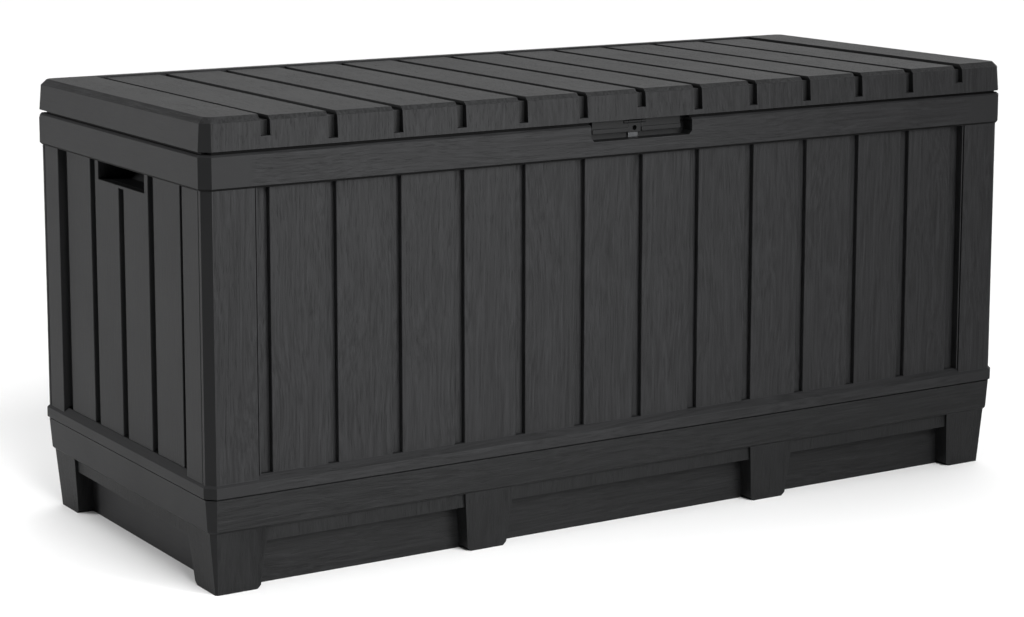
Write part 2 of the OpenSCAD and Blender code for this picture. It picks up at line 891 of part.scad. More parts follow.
module liner_screws() color([0.6, 0.61, 0.62]) {
    boss_places() rotate([180, 0, 0]) screw(liner_t + leaf_bite);
}

module corner_screws() color([0.6, 0.61, 0.62]) {
    each_corner() {
        front_screw_places() screw(flange_t + corner_bite);
        side_screw_places() screw(flange_t + corner_bite);
    }
}

base_tray();
lower_frame();
front_wall();
rear_wall();
left_wall();
right_wall();
front_left_post();
front_right_post();
rear_left_post();
rear_right_post();
rim_frame();
left_handle_cup();
right_handle_cup();
latch_pocket();
lock_staple();
left_hinge_bracket();
centre_hinge_bracket();
right_hinge_bracket();
left_hinge_pin();
centre_hinge_pin();
right_hinge_pin();
bracket_screws();
corner_screws();
lid_shell();
lid_liner();
latch_lip();
hasp_pin();
left_hinge_knuckle();
centre_hinge_knuckle();
right_hinge_knuckle();
knuckle_screws();
liner_screws();
hasp_tab();
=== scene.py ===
"""Deck storage box in dark graphite resin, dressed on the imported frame. Metres, +Z up, front at -Y."""

from __future__ import annotations

import json
import logging
import math
from dataclasses import dataclass, field
from enum import Enum
from typing import Any, Callable, Iterable, Sequence

import bmesh
import bpy
from mathutils import Matrix, Vector

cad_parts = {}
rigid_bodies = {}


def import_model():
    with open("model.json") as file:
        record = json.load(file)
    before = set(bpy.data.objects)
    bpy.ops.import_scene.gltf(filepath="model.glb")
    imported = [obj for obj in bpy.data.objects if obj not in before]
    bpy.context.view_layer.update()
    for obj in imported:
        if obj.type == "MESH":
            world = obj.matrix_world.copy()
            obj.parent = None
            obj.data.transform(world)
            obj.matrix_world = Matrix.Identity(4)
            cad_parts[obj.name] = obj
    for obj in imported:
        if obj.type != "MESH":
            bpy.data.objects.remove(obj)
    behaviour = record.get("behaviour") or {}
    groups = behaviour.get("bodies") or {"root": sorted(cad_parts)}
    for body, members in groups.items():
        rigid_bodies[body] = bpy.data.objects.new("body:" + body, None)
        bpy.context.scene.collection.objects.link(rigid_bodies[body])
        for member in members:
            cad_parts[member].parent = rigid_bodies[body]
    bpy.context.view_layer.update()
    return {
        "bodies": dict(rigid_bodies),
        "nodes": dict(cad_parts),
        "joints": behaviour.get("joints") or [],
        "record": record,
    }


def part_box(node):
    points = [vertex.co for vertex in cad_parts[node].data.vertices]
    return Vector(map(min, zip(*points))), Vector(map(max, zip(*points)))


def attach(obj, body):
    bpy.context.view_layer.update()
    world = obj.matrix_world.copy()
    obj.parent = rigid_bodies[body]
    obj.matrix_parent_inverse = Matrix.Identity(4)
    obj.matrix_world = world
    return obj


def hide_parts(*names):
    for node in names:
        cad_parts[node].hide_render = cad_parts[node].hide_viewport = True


LOG = logging.getLogger("deck_box")
MM = 0.001
Colour = tuple[float, float, float]
Point = tuple[float, float, float]

# Welding distance, and the angles under which faces are one and over which an edge is rounded
WELD = 0.002 * MM
FLAT = math.radians(0.4)
SOFTENED = math.radians(20.0)
# Shortest edge beside a rounded one, in widths of the rounding
SHORTEST_EDGE = 2.6
# Stretch of the slow drifts along the grain, and of the pores against the fibres
DRIFT_STRETCH = 0.22
PORE_STRETCH = 1.6


class Along(Enum):
    """The way the moulded grain runs, as how much each axis is stretched for it."""

    X = (0.035, 1.0, 1.0)
    Y = (1.0, 0.035, 1.0)
    Z = (1.0, 1.0, 0.035)


class Body(Enum):
    """The moving bodies of the frame."""

    BOX = "box"
    LID = "lid"
    HASP = "hasp"


# ---------------------------------------------------------------- node trees


class Signal:
    """A socket on its way through a tree. Arithmetic on it adds Math nodes."""

    def __init__(self, bench: Bench, socket: bpy.types.NodeSocket) -> None:
        """Keeps the bench that adds nodes and the output socket."""
        self.bench = bench
        self.socket = socket

    def _math(self, operation: str, first: Any, second: Any) -> Signal:
        """Adds one Math node.

        Args:
            operation: The Math node's operation.
            first: A Signal or a number.
            second: A Signal or a number.

        Returns:
            The result.
        """
        return self.bench.add("ShaderNodeMath", {"operation": operation}, {0: first, 1: second})

    def __add__(self, other: Any) -> Signal:
        """Sum."""
        return self._math("ADD", self, other)

    def __radd__(self, other: Any) -> Signal:
        """Sum, reflected."""
        return self._math("ADD", other, self)

    def __sub__(self, other: Any) -> Signal:
        """Difference."""
        return self._math("SUBTRACT", self, other)

    def __rsub__(self, other: Any) -> Signal:
        """Difference, reflected."""
        return self._math("SUBTRACT", other, self)

    def __mul__(self, other: Any) -> Signal:
        """Product."""
        return self._math("MULTIPLY", self, other)

    def __rmul__(self, other: Any) -> Signal:
        """Product, reflected."""
        return self._math("MULTIPLY", other, self)

    def __abs__(self) -> Signal:
        """Size without sign."""
        return self._math("ABSOLUTE", self, 0.0)

    def ease(self, low: float, high: float) -> Signal:
        """A smooth step from 0 at low to 1 at high."""
        settings = {"interpolation_type": "SMOOTHSTEP"}
        values = {"Value": self, "From Min": low, "From Max": high, "To Min": 0.0, "To Max": 1.0}
        return self.bench.add("ShaderNodeMapRange", settings, values)


class Bench:
    """Adds nodes to one tree, with their settings first and then their sockets."""

    def __init__(self, tree: bpy.types.NodeTree) -> None:
        """Keeps the tree."""
        self.tree = tree

    def add(self, kind: str, settings: dict[str, Any], values: dict[Any, Any], out: Any = 0) -> Signal:
        """Adds one node.

        Args:
            kind: The node's type.
            settings: Its properties.
            values: Numbers or Signals, by the name or the index of an input socket.
            out: The name or the index of the output to return.

        Returns:
            The chosen output.
        """
        node = self.tree.nodes.new(kind)
        for key, value in settings.items():
            setattr(node, key, value)
        for key, value in values.items():
            if isinstance(value, Signal):
                self.tree.links.new(value.socket, node.inputs[key])
            else:
                node.inputs[key].default_value = value
        return Signal(self, node.outputs[out] if node.outputs else None)

    def stretch(self, vector: Signal, factors: Sequence[float]) -> Signal:
        """The vector with each axis multiplied by its own factor."""
        return self.add("ShaderNodeVectorMath", {"operation": "MULTIPLY"}, {0: vector, 1: tuple(factors)})

    def shift(self, vector: Signal, other: Signal) -> Signal:
        """The vector moved by another, or by the same number on each axis."""
        return self.add("ShaderNodeVectorMath", {"operation": "ADD"}, {0: vector, 1: other})

    def noise(self, vector: Signal, scale: float, detail: float = 2.0, rough: float = 0.5) -> Signal:
        """Plain noise from 0 to 1."""
        values = {"Vector": vector, "Scale": scale, "Detail": detail, "Roughness": rough}
        return self.add("ShaderNodeTexNoise", {"noise_dimensions": "3D"}, values)

    def blend(self, factor: Signal, first: Any, second: Any) -> Signal:
        """A colour between two colours."""
        settings = {"data_type": "RGBA", "blend_type": "MIX"}
        return self.add("ShaderNodeMix", settings, {0: factor, 6: first, 7: second}, out=2)


# ---------------------------------------------------------------- finishes


class Finish:
    """A finish that makes its material once and hands the same one to every piece."""

    name: str
    made: dict[str, bpy.types.Material] = {}

    def material(self) -> bpy.types.Material:
        """The finish's material, made on the first call."""
        if self.name not in Finish.made:
            made = bpy.data.materials.new(self.name)
            made.use_nodes = True
            made.node_tree.nodes.clear()
            bench = Bench(made.node_tree)
            shader = self.surface(bench)
            bench.add("ShaderNodeOutputMaterial", {}, {"Surface": shader})
            Finish.made[self.name] = made
        return Finish.made[self.name]

    def surface(self, bench: Bench) -> Signal:
        """The shader, for each finish to say."""
        raise NotImplementedError


def tinted(tone: Colour, gain: float) -> tuple[float, float, float, float]:
    """A colour for a socket, lightened or darkened."""
    return (tone[0] * gain, tone[1] * gain, tone[2] * gain, 1.0)


def edge_mask(bench: Bench, radius: float) -> Signal:
    """How near a point is to a sharp edge, from 0 to 1."""
    rounded = bench.add("ShaderNodeBevel", {"samples": 4}, {"Radius": radius})
    normal = bench.add("ShaderNodeNewGeometry", {}, {}, out="Normal")
    settings = {"operation": "DOT_PRODUCT"}
    facing = bench.add("ShaderNodeVectorMath", settings, {0: rounded, 1: normal}, out="Value")
    return (1 - facing).ease(0.01, 0.16)


def resin_shader(bench: Bench, colour: Signal, rough: Signal, normal: Signal) -> Signal:
    """The shader shared by every resin, with the low sheen of a polyolefin."""
    values = {"Base Color": colour, "Roughness": rough, "Normal": normal}
    sheen = {"IOR": 1.46, "Specular IOR Level": 0.12}
    return bench.add("ShaderNodeBsdfPrincipled", {}, values | sheen)


@dataclass(frozen=True)
class GrainedResin(Finish):
    """Moulded resin embossed with wood grain.

    Attributes:
        name: Name of the material.
        tone: Base colour.
        along: The way the grain runs.
        relief: Depth of the grain in metres.
        figure: How much the grain changes the tone.
        rough: Middle of the roughness.
        calm_beyond: Distance from the middle, along X, past which the grain dies away.
        seed: Moves the pattern.
    """

    name: str
    tone: Colour
    along: Along
    relief: float = 0.0006
    figure: float = 1.0
    rough: float = 0.56
    calm_beyond: float = 9.0
    seed: float = 0.0

    def surface(self, bench: Bench) -> Signal:
        """Fine fibres that follow slow drifts, with short pores, over a mottled tone."""
        place = bench.add("ShaderNodeTexCoord", {}, {}, out="Object")
        shade = bench.add("ShaderNodeAttribute", {"attribute_name": "shade"}, {}, out="Fac")
        moved = bench.shift(place, shade * 7.3 + self.seed)
        slow = [DRIFT_STRETCH if f < 1 else 1.0 for f in self.along.value]
        short = [f * PORE_STRETCH if f < 1 else 1.0 for f in self.along.value]
        drift = bench.noise(bench.stretch(moved, slow), 16.0, 1.0)
        wander = bench.shift(bench.stretch(moved, self.along.value), (drift - 0.5) * 0.045)
        fibre = bench.noise(wander, 300.0, 4.0, 0.68)
        fine = bench.noise(wander, 900.0, 1.0)
        pores = bench.noise(bench.stretch(moved, short), 760.0, 1.0)
        pits = pores.ease(0.60, 0.72)
        patch = bench.noise(bench.stretch(moved, slow), 34.0, 2.0)
        axis = bench.add("ShaderNodeSeparateXYZ", {}, {0: place}, out="X")
        calm = 1 - abs(axis).ease(self.calm_beyond, self.calm_beyond + 0.012)
        strength = (patch * 0.7 + 0.55) * calm
        height = (fibre * 0.75 + fine * 0.25 - pits * 0.35) * strength
        wear_and_highlight = edge_mask(bench, 0.0014)
        mottle = bench.noise(place, 9.0, 3.0)
        drawn = (fibre - 0.5) * strength * (2.4 * self.figure)
        tone = drawn + (mottle - 0.5) * 0.2 + (shade - 0.5) * 0.08 + 0.5
        body = bench.blend(tone, tinted(self.tone, 0.62), tinted(self.tone, 1.38))
        pitted = bench.blend(pits * 0.35 * strength, body, tinted(self.tone, 0.55))
        # Edges lightened in colour: partly wear, partly a painted highlight along the edges
        colour = bench.blend(wear_and_highlight * 0.55, pitted, tinted(self.tone, 1.75))
        rough = self.rough + (mottle - 0.5) * 0.12 + (fibre - 0.5) * 0.10 - wear_and_highlight * 0.10
        values = {"Strength": 1.0, "Distance": self.relief, "Height": height}
        normal = bench.add("ShaderNodeBump", {}, values)
        return resin_shader(bench, colour, rough, normal)


@dataclass(frozen=True)
class PlainResin(Finish):
    """Moulded resin with the fine spark-eroded texture of an inner face.

    Attributes:
        name: Name of the material.
        tone: Base colour.
        rough: Middle of the roughness.
    """

    name: str
    tone: Colour
    rough: float = 0.6

    def surface(self, bench: Bench) -> Signal:
        """A fine pebble over a mottled tone, lighter along the edges as wear and a painted highlight."""
        place = bench.add("ShaderNodeTexCoord", {}, {}, out="Object")
        pebble = bench.noise(place, 1400.0, 2.0, 0.6)
        mottle = bench.noise(place, 14.0, 3.0)
        wear_and_highlight = edge_mask(bench, 0.001)
        tone = (mottle - 0.5) * 0.5 + (pebble - 0.5) * 0.2 + 0.5
        body = bench.blend(tone, tinted(self.tone, 0.82), tinted(self.tone, 1.18))
        # Edges lightened in colour: partly wear, partly a painted highlight along the edges
        colour = bench.blend(wear_and_highlight * 0.5, body, tinted(self.tone, 1.6))
        rough = self.rough + (mottle - 0.5) * 0.14 - wear_and_highlight * 0.1
        values = {"Strength": 1.0, "Distance": 0.00006, "Height": pebble}
        normal = bench.add("ShaderNodeBump", {}, values)
        return resin_shader(bench, colour, rough, normal)


@dataclass(frozen=True)
class ZincSteel(Finish):
    """Zinc-plated steel, lightly brushed.

    Attributes:
        name: Name of the material.
        tone: Colour of the metal.
    """

    name: str = "zinc_steel"
    tone: Colour = (0.52, 0.53, 0.54)

    def surface(self, bench: Bench) -> Signal:
        """Brushed streaks and a cloudy plating."""
        place = bench.add("ShaderNodeTexCoord", {}, {}, out="Object")
        streak = bench.noise(bench.stretch(place, (0.08, 1.0, 1.0)), 2400.0, 2.0)
        cloud = bench.noise(place, 160.0, 2.0)
        wear_and_highlight = edge_mask(bench, 0.0006)
        body = bench.blend(cloud, tinted(self.tone, 0.8), tinted(self.tone, 1.15))
        # Lighter edges in colour: partly wear, partly a painted highlight
        colour = bench.blend(wear_and_highlight * 0.4, body, tinted(self.tone, 1.4))
        rough = 0.34 + (streak - 0.5) * 0.2 + (cloud - 0.5) * 0.1
        normal = bench.add("ShaderNodeBump", {}, {"Strength": 1.0, "Distance": 0.00002, "Height": streak})
        values = {"Base Color": colour, "Roughness": rough, "Metallic": 1.0, "Normal": normal}
        return bench.add("ShaderNodeBsdfPrincipled", {}, values)


@dataclass(frozen=True)
class PaleFloor(Finish):
    """Plain pale studio floor.

    Attributes:
        name: Name of the material.
        tone: Its colour.
    """

    name: str = "pale_floor"
    tone: Colour = (0.86, 0.86, 0.86)

    def surface(self, bench: Bench) -> Signal:
        """A matt surface with the faintest variation."""
        place = bench.add("ShaderNodeTexCoord", {}, {}, out="Object")
        cloud = bench.noise(place, 0.8, 2.0)
        colour = bench.blend(cloud, tinted(self.tone, 0.99), tinted(self.tone, 1.01))
        return bench.add("ShaderNodeBsdfPrincipled", {}, {"Base Color": colour, "Roughness": 0.9})


# ---------------------------------------------------------------- mesh work


def plain_mesh(obj: bpy.types.Object) -> bpy.types.Object:
    """Turns an object's evaluated shape into its own plain mesh.

    Args:
        obj: An object with live modifiers.

    Returns:
        The same object, with no modifier left.
    """
    depsgraph = bpy.context.evaluated_depsgraph_get()
    made = bpy.data.meshes.new_from_object(obj.evaluated_get(depsgraph), depsgraph=depsgraph)
    made.name = obj.name
    obj.modifiers.clear()
    obj.data = made
    return obj


def new_piece(name: str, mesh: bpy.types.Mesh) -> bpy.types.Object:
    """A mesh as a new object of the scene, at the origin."""
    obj = bpy.data.objects.new(name, mesh)
    bpy.context.scene.collection.objects.link(obj)
    return obj


def from_bmesh(name: str, shape: bmesh.types.BMesh) -> bpy.types.Object:
    """A bmesh as a new object, and the bmesh freed."""
    mesh = bpy.data.meshes.new(name)
    shape.to_mesh(mesh)
    shape.free()
    return new_piece(name, mesh)


def crisp(obj: bpy.types.Object, angle: float = 38.0) -> bpy.types.Object:
    """Smooth shading that keeps flat faces flat and edges over the angle sharp."""
    mesh = obj.data
    mesh.polygons.foreach_set("use_smooth", [True] * len(mesh.polygons))
    mesh.set_sharp_from_angle(angle=math.radians(angle))
    weigh = obj.modifiers.new("weigh", "WEIGHTED_NORMAL")
    weigh.keep_sharp = True
    return plain_mesh(obj)


def soften_edges(shape: bmesh.types.BMesh, radius: float, segments: int = 2) -> None:
    """Rounds the long sharp edges of a shape.

    Args:
        shape: The bmesh to change.
        radius: Width of the rounding in metres.
        segments: Steps across it.
    """
    shortest = radius * SHORTEST_EDGE
    clear = {v for v in shape.verts if all(e.calc_length() > shortest for e in v.link_edges)}
    chosen = []
    for edge in shape.edges:
        if len(edge.link_faces) != 2:
            continue
        if edge.calc_face_angle(0.0) < SOFTENED:
            continue
        if edge.verts[0] in clear and edge.verts[1] in clear:
            chosen.append(edge)
    bmesh.ops.bevel(
        shape,
        geom=chosen,
        offset=radius,
        segments=segments,
        profile=0.6,
        affect="EDGES",
        clamp_overlap=True,
    )


def soft_copy(frame: dict[str, Any], node: str, name: str, radius: float) -> bpy.types.Object:
    """A welded copy of a CAD node with its edges rounded.

    Args:
        node: Name of the CAD node.
        name: Name of the new piece.
        radius: Width of the rounding in metres.

    Returns:
        The new object.
    """
    shape = bmesh.new()
    shape.from_mesh(frame["nodes"][node].data)
    bmesh.ops.remove_doubles(shape, verts=shape.verts, dist=WELD)
    bmesh.ops.dissolve_limit(
        shape,
        angle_limit=FLAT,
        verts=shape.verts,
        edges=shape.edges,
        use_dissolve_boundaries=False,
    )
    bmesh.ops.dissolve_degenerate(shape, dist=WELD, edges=shape.edges)
    soften_edges(shape, radius)
    return from_bmesh(name, shape)


def solid_box(shape: bmesh.types.BMesh, low: Sequence[float], high: Sequence[float]) -> None:
    """Adds a closed box between two corners to a shape."""
    size = Vector(high) - Vector(low)
    middle = (Vector(high) + Vector(low)) / 2
    matrix = Matrix.Translation(middle) @ Matrix.Diagonal((*size, 1.0))
    bmesh.ops.create_cube(shape, size=1.0, matrix=matrix)


def merged(name: str, parts: Sequence[bpy.types.Object]) -> bpy.types.Object:
    """Joins plain mesh objects, with their materials, into one piece.

    Args:
        name: Name of the new piece.
        parts: Objects at the origin, which are removed.

    Returns:
        The joined object.
    """
    with bpy.context.temp_override(
        active_object=parts[0], selected_objects=list(parts), selected_editable_objects=list(parts)
    ):
        bpy.ops.object.join()
    parts[0].name = name
    parts[0].data.name = name
    return parts[0]


def first_slot(polygon: bpy.types.MeshPolygon) -> int:
    """The first slot, for a piece with one finish."""
    return 0


def dress(
    obj: bpy.types.Object,
    finishes: Sequence[Finish],
    choose: Callable[[bpy.types.MeshPolygon], int] = first_slot,
) -> bpy.types.Object:
    """Gives each face of a piece one of several finishes.

    Args:
        obj: The piece.
        finishes: The finishes, one for each slot.
        choose: Says the slot of a face.

    Returns:
        The same object.
    """
    obj.data.materials.clear()
    for finish in finishes:
        obj.data.materials.append(finish.material())
    for polygon in obj.data.polygons:
        polygon.material_index = choose(polygon)
    return obj


def place(obj: bpy.types.Object, body: Body, slot: str, nodes: Iterable[str]) -> None:
    """Puts a finished piece on its body, in place of its CAD nodes."""
    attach(obj, body.value)
    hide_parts(*nodes)
    LOG.info("%s: %d faces, on %s", obj.name, len(obj.data.polygons), body.value)


# ---------------------------------------------------------------- geometry nodes


class Recipe:
    """A geometry nodes tree with named inputs, built once and run on new objects."""

    def __init__(self, name: str, inputs: dict[str, str]) -> None:
        """Makes the tree.

        Args:
            name: Name of the tree.
            inputs: Socket types by input name.
        """
        self.tree = bpy.data.node_groups.new(name, "GeometryNodeTree")
        self.tree.interface.new_socket("Geometry", in_out="OUTPUT", socket_type="NodeSocketGeometry")
        self.tree.interface.new_socket("Geometry", in_out="INPUT", socket_type="NodeSocketGeometry")
        self.ids: dict[str, str] = {}
        for label, kind in inputs.items():
            socket = self.tree.interface.new_socket(label, in_out="INPUT", socket_type=kind)
            self.ids[label] = socket.identifier
        self.bench = Bench(self.tree)
        self.source = self.tree.nodes.new("NodeGroupInput")

    def value(self, label: str) -> Signal:
        """One of the named inputs."""
        return Signal(self.bench, self.source.outputs[label])

    def close(self, geometry: Signal, material: Signal) -> None:
        """Realizes the instances, sets the material and ends the tree."""
        real = self.bench.add("GeometryNodeRealizeInstances", {}, {"Geometry": geometry})
        dressed = self.bench.add("GeometryNodeSetMaterial", {}, {"Geometry": real, "Material": material})
        self._end(dressed)

    def _end(self, geometry: Signal) -> None:
        """Links the result to the group's output."""
        node = self.tree.nodes.new("NodeGroupOutput")
        self.tree.links.new(geometry.socket, node.inputs[0])

    def run(self, name: str, seed_mesh: bpy.types.Mesh, values: dict[str, Any]) -> bpy.types.Object:
        """Runs the tree and keeps its result as a plain mesh.

        Args:
            name: Name of the new object.
            seed_mesh: The mesh that goes in.
            values: Values by input name.

        Returns:
            The new object, with no modifier.
        """
        obj = new_piece(name, seed_mesh)
        modifier = obj.modifiers.new(name, "NODES")
        modifier.node_group = self.tree
        for label, value in values.items():
            modifier[self.ids[label]] = value
        return plain_mesh(obj)


class BoardRow(Recipe):
    """A row of upright boards with rounded, slightly tapered edges."""

    def __init__(self) -> None:
        """Builds the tree: a tapered profile, swept up, repeated along X and given a shade each."""
        numbers = ["Pitch", "Width", "Height", "Thickness", "Taper", "Edge radius", "Bottom"]
        sockets = {label: "NodeSocketFloat" for label in numbers}
        sockets.update({"Count": "NodeSocketInt", "Seed": "NodeSocketInt", "Finish": "NodeSocketMaterial"})
        super().__init__("board_row", sockets)
        b = self.bench
        profile = b.add(
            "GeometryNodeCurvePrimitiveQuadrilateral",
            {"mode": "TRAPEZOID"},
            {
                "Height": self.value("Thickness"),
                "Bottom Width": self.value("Width"),
                "Top Width": self.value("Width") + self.value("Taper"),
                "Offset": 0.0,
            },
        )
        rounded = b.add(
            "GeometryNodeFilletCurve",
            {"mode": "POLY"},
            {"Curve": profile, "Count": 3, "Radius": self.value("Edge radius"), "Limit Radius": True},
        )
        face = b.add("GeometryNodeFillCurve", {"mode": "NGONS"}, {"Curve": rounded})
        raised = b.add(
            "GeometryNodeExtrudeMesh",
            {"mode": "FACES"},
            {
                "Mesh": face,
                "Offset": (0.0, 0.0, 1.0),
                "Offset Scale": self.value("Height"),
                "Individual": False,
            },
        )
        sole = b.add("GeometryNodeFlipFaces", {}, {"Mesh": face})
        board = b.tree.nodes.new("GeometryNodeJoinGeometry")
        b.tree.links.new(raised.socket, board.inputs[0])
        b.tree.links.new(sole.socket, board.inputs[0])
        whole = Signal(b, board.outputs[0])
        closed = b.add("GeometryNodeMergeByDistance", {}, {"Geometry": whole, "Distance": 5 * WELD})
        span = (self.value("Count") - 1) * self.value("Pitch") * -0.5
        start = b.add("ShaderNodeCombineXYZ", {}, {"X": span, "Y": 0.0, "Z": self.value("Bottom")})
        step = b.add("ShaderNodeCombineXYZ", {}, {"X": self.value("Pitch"), "Y": 0.0, "Z": 0.0})
        row = b.add(
            "GeometryNodeMeshLine",
            {"mode": "OFFSET"},
            {"Count": self.value("Count"), "Start Location": start, "Offset": step},
        )
        chance = b.add(
            "FunctionNodeRandomValue", {"data_type": "FLOAT"}, {"Seed": self.value("Seed")}, out=1
        )
        marked = b.add(
            "GeometryNodeStoreNamedAttribute",
            {"data_type": "FLOAT", "domain": "POINT"},
            {"Geometry": row, "Name": "shade", "Value": chance},
        )
        boards = b.add("GeometryNodeInstanceOnPoints", {}, {"Points": marked, "Instance": closed})
        self.close(boards, self.value("Finish"))


class ScrewField(Recipe):
    """Screws at the points of a mesh, each facing the way its point is told to."""

    def __init__(self) -> None:
        """Builds the tree: a template set on each point and turned to the point's heading."""
        super().__init__("screw_field", {"Template": "NodeSocketObject", "Finish": "NodeSocketMaterial"})
        b = self.bench
        template = b.add("GeometryNodeObjectInfo", {}, {"Object": self.value("Template")}, out="Geometry")
        heading = b.add(
            "GeometryNodeInputNamedAttribute", {"data_type": "FLOAT_VECTOR"}, {"Name": "heading"}
        )
        turn = b.add("FunctionNodeAlignRotationToVector", {"axis": "Z"}, {"Vector": heading})
        points = self.value("Geometry")
        screws = b.add(
            "GeometryNodeInstanceOnPoints", {}, {"Points": points, "Instance": template, "Rotation": turn}
        )
        self.close(screws, self.value("Finish"))


# ---------------------------------------------------------------- the finishes in use

GRAPHITE: Colour = (0.0110, 0.01115, 0.0117)
DARK_GRAPHITE: Colour = (0.0083, 0.0085, 0.0088)
TOP_GRAPHITE: Colour = (0.0120, 0.0122, 0.0127)
FITTING_GRAPHITE: Colour = (0.0069, 0.0071, 0.0074)
# Darker tone on the vertical corner chamfers: painted shade for chamfers that face away from the light
CORNER_SHADE_GRAPHITE: Colour = (0.0075, 0.0077, 0.0080)
# Near-black painted shade for the seam gap under the lid and the rim's downward bevel, where shadow falls
SEAM_SHADE_TONE: Colour = (0.0015, 0.0015, 0.0016)

BOARD_UP = GrainedResin("board_resin", GRAPHITE, Along.Z, figure=1.35)
SIDE_UP = GrainedResin("side_resin", GRAPHITE, Along.Z, relief=0.0002, figure=0.3, seed=3.1)
BAND_X = GrainedResin("band_resin_long", GRAPHITE, Along.X, figure=1.25, calm_beyond=0.566, seed=1.7)
BAND_Y = GrainedResin("band_resin_short", GRAPHITE, Along.Y, relief=0.0002, figure=0.25, seed=2.3)
BASE_X = GrainedResin("base_resin_long", DARK_GRAPHITE, Along.X, figure=1.3, seed=4.9)
BASE_Y = GrainedResin("base_resin_short", GRAPHITE, Along.Y, relief=0.0002, figure=0.3, seed=5.3)
FOOT_UP = GrainedResin("foot_resin", DARK_GRAPHITE, Along.Z, seed=6.1)
TOP_DEEP = GrainedResin(
    "lid_top_resin", TOP_GRAPHITE, Along.Y, relief=0.001, figure=2.4, rough=0.5, seed=7.7
)
FASCIA_UP = GrainedResin("lid_front_resin", GRAPHITE, Along.Z, figure=1.5, seed=8.3)
# Painted shade: the corner chamfers get this darker, plain copy of the graphite resin
CORNER_SHADE = PlainResin("corner_resin", CORNER_SHADE_GRAPHITE, rough=0.5)
# Painted shade: the seam gap and the rim's underside get this near-black finish in place of their shadow
SEAM_SHADE = PlainResin("seam_resin", SEAM_SHADE_TONE, rough=0.8)
INNER = PlainResin("inner_resin", DARK_GRAPHITE)
FITTING = PlainResin("fitting_resin", FITTING_GRAPHITE, rough=0.52)
STEEL = ZincSteel()
# Steel darkened to near black as painted shade for the lock plate deep in the latch recess
SHADED_STEEL = ZincSteel("black_steel", (0.045, 0.046, 0.048))


def facing(polygon: bpy.types.MeshPolygon) -> Vector:
    """The size of a face's normal on each axis."""
    return Vector((abs(polygon.normal.x), abs(polygon.normal.y), abs(polygon.normal.z)))


def on_corner(polygon: bpy.types.MeshPolygon) -> bool:
    """Whether a face belongs to a vertical corner chamfer."""
    size = facing(polygon)
    return size.x > 0.4 and size.y > 0.4 and size.z < 0.45


def band_slot(polygon: bpy.types.MeshPolygon) -> int:
    """The finish of one face of a band: along X, along Y, or a corner chamfer in painted shade."""
    if on_corner(polygon):
        return 2
    size = facing(polygon)
    return 1 if size.x > size.y else 0


# ---------------------------------------------------------------- sub-assemblies


@dataclass
class Footing:
    """The tub base with its band and feet, and the ledge ring on it."""

    frame: dict[str, Any]
    foot_top: float = 80 * MM
    wall_depth: float = 42 * MM
    foot_depth: float = 28 * MM
    inner_depth: float = 30 * MM
    edge: float = 1.3 * MM
    ledge_edge: float = 0.9 * MM
    half: Vector = field(default_factory=Vector)

    def tub_slot(self, polygon: bpy.types.MeshPolygon) -> int:
        """The finish of one face of the tub: along X, along Y, upright on the feet, plain inside, or a
        corner chamfer in painted shade.
        """
        middle = polygon.center
        size = facing(polygon)
        if on_corner(polygon):
            return 4
        depth = min(self.half.x - abs(middle.x), self.half.y - abs(middle.y))
        inward = polygon.normal.x * middle.x + polygon.normal.y * middle.y < 0
        upright = size.z < 0.9
        if depth > self.wall_depth or (inward and upright and depth > self.inner_depth):
            return 3
        if upright and middle.z < self.foot_top and depth < self.foot_depth:
            return 2
        return 1 if size.x > size.y else 0

    def build(self) -> None:
        """Makes the tub and the ring."""
        self.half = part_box("base_tray")[1]
        tub = soft_copy(self.frame, "base_tray", "tub_base", self.edge)
        dress(tub, [BASE_X, BASE_Y, FOOT_UP, INNER, CORNER_SHADE], self.tub_slot)
        place(crisp(tub), Body.BOX, "resin_base", ["base_tray"])
        ring = soft_copy(self.frame, "lower_frame", "ledge_ring", self.ledge_edge)
        dress(ring, [BAND_X, BAND_Y, CORNER_SHADE], band_slot)
        place(crisp(ring), Body.BOX, "resin_body", ["lower_frame"])


